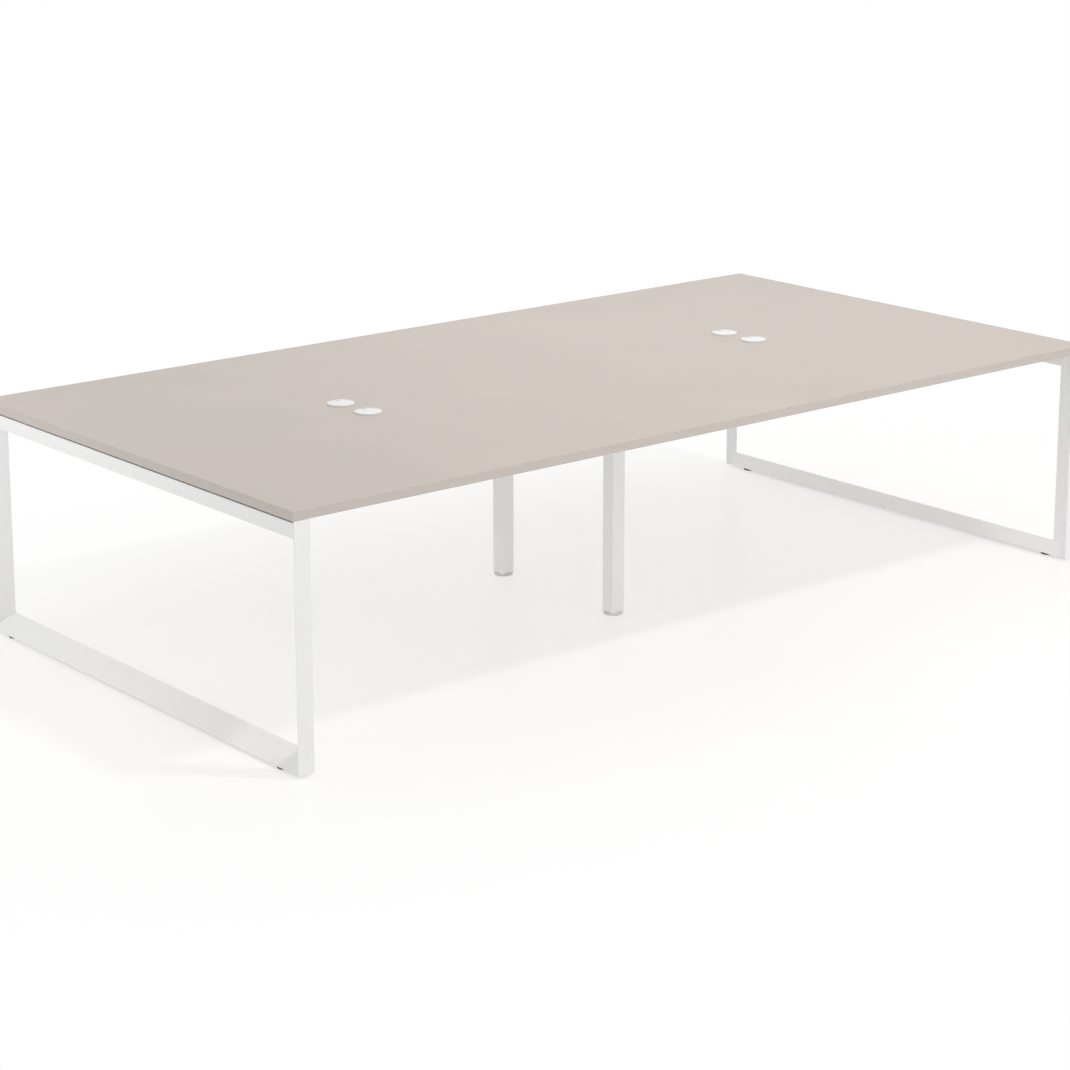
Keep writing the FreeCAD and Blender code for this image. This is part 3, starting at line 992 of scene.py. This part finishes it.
@dataclass
class Fixings(SubAssembly):
    """Bolts, nuts, wood screws and spacers."""

    across_flats: float = 13.0 * MM
    head_height: float = 5.3 * MM
    shank_length: float = 15.5 * MM
    nut_height: float = 6.5 * MM
    nut_bore: float = 3.75 * MM
    mouth_edge: float = 0.6 * MM
    chamfer: float = 0.9 * MM
    chamfer_inset: float = 0.3 * MM
    chamfer_steps: int = 3
    hex_steps: int = 48
    screw_head_radius: float = 5.0 * MM
    screw_head_height: float = 3.0 * MM
    screw_edge: float = 0.3 * MM
    screw_steps: int = 32
    crown_steps: int = 6
    crown_power: float = 0.7
    recess_width: float = 1.3 * MM
    recess_length: float = 5.0 * MM
    recess_depth: float = 1.8 * MM
    spacer_radius: float = 9.4 * MM
    spacer_bore: float = 3.2 * MM
    spacer_edge: float = 0.5 * MM
    spacer_height: float = 4.0 * MM
    spacer_steps: int = 48
    clamped: float = 7.0 * MM
    plate_bolt_offset: float = 0.030
    leg_bolt_offset: float = 0.045
    plate_level: float = 0.690
    rail_x: float = 1.5725
    foot_row: float = 0.725
    foot_nut_level: float = 0.010
    rail_screw_row: float = 0.575
    rail_screw_level: float = 0.706
    rail_screw_length: float = 24.0 * MM
    beam_screw_planes: tuple[float, ...] = (-1.240, -0.335, 0.335, 1.240)
    cross_screw_plane: float = 0.017
    cross_screw_row: float = 0.490
    beam_screw_level: float = 0.710
    beam_screw_length: float = 20.0 * MM
    underside: float = 0.712

    def build(self) -> None:
        """Every fastener set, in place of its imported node."""
        bolt = self._bolt()
        nut = self._nut()
        self._set("beam_bolts", bolt, self._beam_places(0.0))
        self._set("beam_nuts", nut, self._beam_places(self.clamped))
        legs = [(0.0, row + side) for row in both(self.beam_row) for side in both(self.leg_bolt_offset)]
        self._set("centre_leg_bolts", bolt, upright(legs, self.leg_head))
        self._set("centre_leg_nuts", nut, upright(legs, self.leg_head + self.clamped))
        feet = [(x, y) for x in both(self.rail_x) for y in both(self.foot_row)]
        self._set("foot_nuts", nut, upright(feet, self.foot_nut_level))
        rails = [(x, y) for x in both(self.rail_x) for y in both(self.rail_screw_row)]
        beams = [(x, y) for x in self.beam_screw_planes for y in both(self.beam_row)]
        beams += [(x, y) for x in both(self.cross_screw_plane) for y in both(self.cross_screw_row)]
        screws = self.forms.joined([
            self.forms.repeated(self._screw(self.rail_screw_length), upright(rails, self.rail_screw_level)),
            self.forms.repeated(self._screw(self.beam_screw_length), upright(beams, self.beam_screw_level)),
        ])
        self.forms.piece("top_screws_threaded", screws, Slot.ZINC_STEEL, TABLE_BODY, "top_screws")
        self._set("rail_spacers", self._spacer(), upright(rails, self.underside - self.spacer_height))

    def _beam_places(self, depth: float) -> list[Place]:
        """Places of fasteners through the beams' end plates.

        Args:
            depth: How far into the joint they sit, from the plates' faces.

        Returns:
            Each place and the way that its fastener points.
        """
        outer = self.outer_plate + depth
        inner = self.inner_plate - depth
        planes = ((-outer, Direction.LEFT), (outer, Direction.RIGHT),
                  (-inner, Direction.RIGHT), (inner, Direction.LEFT))
        rows = [row + side for row in both(self.beam_row) for side in both(self.plate_bolt_offset)]
        return [((x, y, self.plate_level), way) for x, way in planes for y in rows]

    def _set(self, node: str, pattern: Mesh, places: Sequence[Place]) -> None:
        """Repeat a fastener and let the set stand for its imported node."""
        mesh = self.forms.repeated(pattern, places)
        self.forms.piece(node + "_set", mesh, self.forms.shelf.slot_of[node], TABLE_BODY, node)

    def _chamfered(self) -> list[Pair]:
        """Chamfer at the end of a hexagon.

        Returns:
            Its outline, from the end face to the full corners.
        """
        wide = self.across_flats / math.sqrt(3)
        slim = self.across_flats / 2 - self.chamfer_inset
        shares = [k / self.chamfer_steps for k in range(self.chamfer_steps + 1)]
        return [(slim + (wide - slim) * share, self.chamfer * share) for share in shares]

    def _bolt(self) -> Mesh:
        """Hexagon bolt with a chamfered head below its seat and a threaded shank above.

        Returns:
            The bolt with its seat at the origin.
        """
        low = -self.head_height
        rise = [(radius, low + height) for radius, height in self._chamfered()]
        outline = [(0, low)] + rise + [(rise[-1][0], 0), (0, 0)]
        head = self.forms.turned(outline, self.hex_steps, limit=polygon_limit(6, self.across_flats))
        return self.forms.joined([head, self.forms.threaded_rod(BOLT_THREAD, self.shank_length)])

    def _nut(self) -> Mesh:
        """Hexagon nut with both ends chamfered.

        Returns:
            The nut with its lower end at the origin.
        """
        rise = self._chamfered()
        top = self.nut_height
        fall = [(radius, top - height) for radius, height in reversed(rise)]
        bore = self.nut_bore
        edge = self.mouth_edge
        outline = [(bore, edge), (bore + edge, 0)] + rise + fall + [(bore + edge, top), (bore, top - edge)]
        return self.forms.turned(outline, self.hex_steps, True, polygon_limit(6, self.across_flats))

    def _screw(self, length: float) -> Mesh:
        """Pan-head wood screw with a cross recess.

        Args:
            length: Length of the threaded shank.

        Returns:
            The screw with its seat at the origin.
        """
        top = -self.screw_head_height
        radius = self.screw_head_radius
        edge = self.screw_edge
        angles = [k * math.pi / 2 / self.crown_steps for k in range(1, self.crown_steps)]
        crown = [(radius * math.sin(a), top * math.cos(a) ** self.crown_power) for a in angles]
        outline = [(0, top)] + crown + [(radius, -edge), (radius - edge, 0), (0, 0)]
        head = self._recessed(self.forms.turned(outline, self.screw_steps))
        return self.forms.joined([head, self.forms.threaded_rod(SCREW_THREAD, length)])

    def _recessed(self, head: Mesh) -> Mesh:
        """Cut a cross into a screw head's crown.

        Args:
            head: The plain head.

        Returns:
            The head with its recess.
        """
        work = bmesh.new()
        place = Matrix.Translation((0, 0, -self.screw_head_height))
        for size in ((self.recess_length, self.recess_width), (self.recess_width, self.recess_length)):
            shape = Matrix.Diagonal((*size, 2 * self.recess_depth, 1))
            bmesh.ops.create_cube(work, size=1, matrix=place @ shape)
        cutter = in_scene("cross", self.forms.plain("cross", work))
        settings = {"operation": "DIFFERENCE", "solver": "EXACT", "use_self": True, "object": cutter}
        made = self.forms.evaluated(head, "BOOLEAN", settings)
        bpy.data.objects.remove(cutter)
        return made

    def _spacer(self) -> Mesh:
        """Round spacer with eased edges.

        Returns:
            The spacer, standing at the origin.
        """
        radius = self.spacer_radius
        edge = self.spacer_edge
        top = self.spacer_height
        outline = [(self.spacer_bore, 0), (radius - edge, 0), (radius, edge),
                   (radius, top - edge), (radius - edge, top), (self.spacer_bore, top)]
        return self.forms.turned(outline, self.spacer_steps, True)


@dataclass
class CableOutlets(SubAssembly):
    """Four sleeves in the boards and the lids that turn over them."""

    corners: Names = ("left_front", "left_rear", "right_front", "right_rear")
    lid_rounding: float = 0.4 * MM
    sleeve_rounding: float = 0.5 * MM

    def build(self) -> None:
        """Sleeves and lids with rounded edges."""
        self.forms.softened_piece("outlet_sleeves", self.sleeve_rounding)
        for corner in self.corners:
            self.forms.softened_piece(corner + "_outlet_lid", self.lid_rounding, corner + "_lid")


@dataclass(frozen=True)
class Panel:
    """One soft panel of light, which neither the camera nor a reflection shows."""

    name: str
    place: Point
    towards: Point
    width: float
    depth: float
    power: float
    spread: float = 180.0

    def hang(self) -> None:
        """Put the panel in the scene, facing its direction."""
        light = bpy.data.lights.new(self.name, "AREA")
        light.shape = "RECTANGLE"
        light.size = self.width
        light.size_y = self.depth
        light.energy = self.power
        light.spread = math.radians(self.spread)
        holder = in_scene(self.name, light)
        holder.location = self.place
        holder.rotation_mode = "QUATERNION"
        holder.rotation_quaternion = Vector(self.towards).to_track_quat("-Z", "Y")
        holder.visible_camera = False
        holder.visible_glossy = False


@dataclass
class Studio:
    """Camera, floor, lamps and surroundings."""

    eye: Point = (-5.529, -6.522, 2.681)
    heading: float = 39.810
    tilt: float = 12.874
    lens: float = 92.60
    shift: float = -0.15
    sensor: float = 36.0
    far_limit: float = 200.0
    floor_half: float = 60.0
    floor_level: float = -0.4 * MM
    floor_roughness: float = 0.25
    floor_glow: float = 0.64
    # Warm tint of the floor's glow near the table: painted warm bounce light from the taupe table.
    painted_bounce_tone: Point = (1.0, 0.991, 0.983)
    fade_scale: Point = (0.8, 1.3, 0.0)
    white_from: float = 1.4
    white_to: float = 2.8
    contact_reach: float = 0.08
    contact_shade_depth: float = 0.24
    contact_samples: int = 8
    fill: float = 0.67
    panels: tuple[Panel, ...] = (
        Panel("key_panel", (1.82, -4.37, 8.0), (-1.82, 4.37, -7.26), 0.75, 0.75, 260.0),
        Panel("left_panel", (-3.6, 1.3, 1.0), (2.0, -1.3, -0.5), 2.0, 1.2, 9.0),
        Panel("rail_panel", (-2.9, 0.7, 1.7), (1.33, -0.5, -1.67), 1.6, 0.4, 0.65, 46.0),
        Panel("front_panel", (0.2, -3.8, 0.9), (0.0, 1.0, -0.12), 1.6, 1.0, 7.0),
        Panel("ceiling_panel", (0.8, 0.7, 3.0), (0.0, 0.0, -1.0), 2.5, 2.5, 13.5),
        Panel("low_panel", (0.0, 0.0, 0.004), (0.0, 0.0, 1.0), 3.1, 1.6, 5.6),
    )

    def build(self) -> None:
        """Set up the whole studio."""
        bpy.context.scene.view_settings.view_transform = "Standard"
        self._camera()
        self._floor()
        self._surroundings()
        for panel in self.panels:
            panel.hang()

    def _camera(self) -> None:
        """Camera at the picture's viewpoint."""
        camera = bpy.data.cameras.new("camera")
        camera.sensor_width = self.sensor
        camera.lens = self.lens
        camera.shift_y = self.shift
        camera.clip_end = self.far_limit
        holder = in_scene("camera", camera)
        holder.location = self.eye
        holder.rotation_euler = (math.radians(90 - self.tilt), 0, math.radians(-self.heading))
        bpy.context.scene.camera = holder

    @staticmethod
    def _seen(bench: ShaderBench) -> Wire:
        """Tell the rays of the picture from those that light the table.

        Args:
            bench: The node tree.

        Returns:
            1 where a ray comes from the camera, a reflection or glass.
        """
        camera = bench.node("ShaderNodeLightPath", {}, {}, "Is Camera Ray")
        rays = camera.socket.node.outputs
        total = camera + Wire(bench, rays["Is Glossy Ray"]) + Wire(bench, rays["Is Transmission Ray"])
        return bench.calc("MINIMUM", total, 1.0)

    def _floor(self) -> None:
        """Pale floor under the table."""
        reach = self.floor_half
        mesh = bpy.data.meshes.new("floor")
        outline = ((-reach, -reach), (reach, -reach), (reach, reach), (-reach, reach))
        mesh.from_pydata([(x, y, self.floor_level) for x, y in outline], [], [(0, 1, 2, 3)])
        material = bpy.data.materials.new("pale_floor")
        material.use_nodes = True
        self._pave(ShaderBench(material.node_tree))
        mesh.materials.append(material)
        floor = in_scene("floor", mesh)

    def _pave(self, bench: ShaderBench) -> None:
        """Floor that keeps a soft shadow, turns white away from the table and is clear from below. Near the
        table its glow carries painted contact shade and a painted warm bounce, and its turn to white paints
        light over the far end of the shadow.

        Args:
            bench: The floor material's empty node tree.
        """
        seen = self._seen(bench)
        lit = bench.surface({"Base Color": WHITE, "Roughness": self.floor_roughness})
        # Ambient occlusion dims the floor's glow next to the table's rails, legs and feet: painted contact
        # shade on the floor.
        contact_shade_occlusion = bench.node("ShaderNodeAmbientOcclusion", {"samples": self.contact_samples},
                          {"Distance": self.contact_reach}, "AO")
        glow_share_after_contact_shade = contact_shade_occlusion * self.contact_shade_depth + (1 - self.contact_shade_depth)
        # The glow near the table is tinted warm: painted warm bounce light, which gives way to plain white
        # further out.
        glow = bench.glow((*self.painted_bounce_tone, 1.0))
        bright = bench.mixed(seen * glow_share_after_contact_shade * self.floor_glow, lit, glow)
        # The floor turns plain white with distance from the table, stretched along Y. This makes a white
        # backdrop and also paints light over the far end of the table's shadow.
        spot = bench.node("ShaderNodeVectorMath", {"operation": "MULTIPLY"},
                          {0: bench.place(), 1: self.fade_scale})
        painted_fade_share = bench.spread(bench.length(spot), self.white_from, self.white_to) * seen
        faded = bench.mixed(painted_fade_share, bright, bench.glow(WHITE))
        below = bench.node("ShaderNodeNewGeometry", {}, {}, "Backfacing")
        bench.close(bench.mixed(below, faded, bench.node("ShaderNodeBsdfTransparent", {}, {})))

    def _surroundings(self) -> None:
        """White surroundings that light the table softly."""
        world = bpy.data.worlds.new("white_surroundings")
        world.use_nodes = True
        bench = ShaderBench(world.node_tree)
        soft = bench.node("ShaderNodeBackground", {}, {"Color": WHITE, "Strength": self.fill})
        white = bench.node("ShaderNodeBackground", {}, {"Color": WHITE, "Strength": 1.0})
        bench.close(bench.mixed(self._seen(bench), soft, white), "ShaderNodeOutputWorld")
        bpy.context.scene.world = world


def main() -> None:
    """Build the studio and every sub-assembly."""
    logging.basicConfig(level=logging.INFO, format="%(name)s: %(message)s")
    Studio().build()
    forms = Forms(FinishShelf())
    for kind in (TableTop, EndFrames, UnderFrame, CentreLegs, LevellingFeet, Fixings, CableOutlets):
        group = kind(forms)
        group.build()
        group.dress()
        LOG.info("%s done", kind.__name__)


if __name__ == "__main__":
    main()
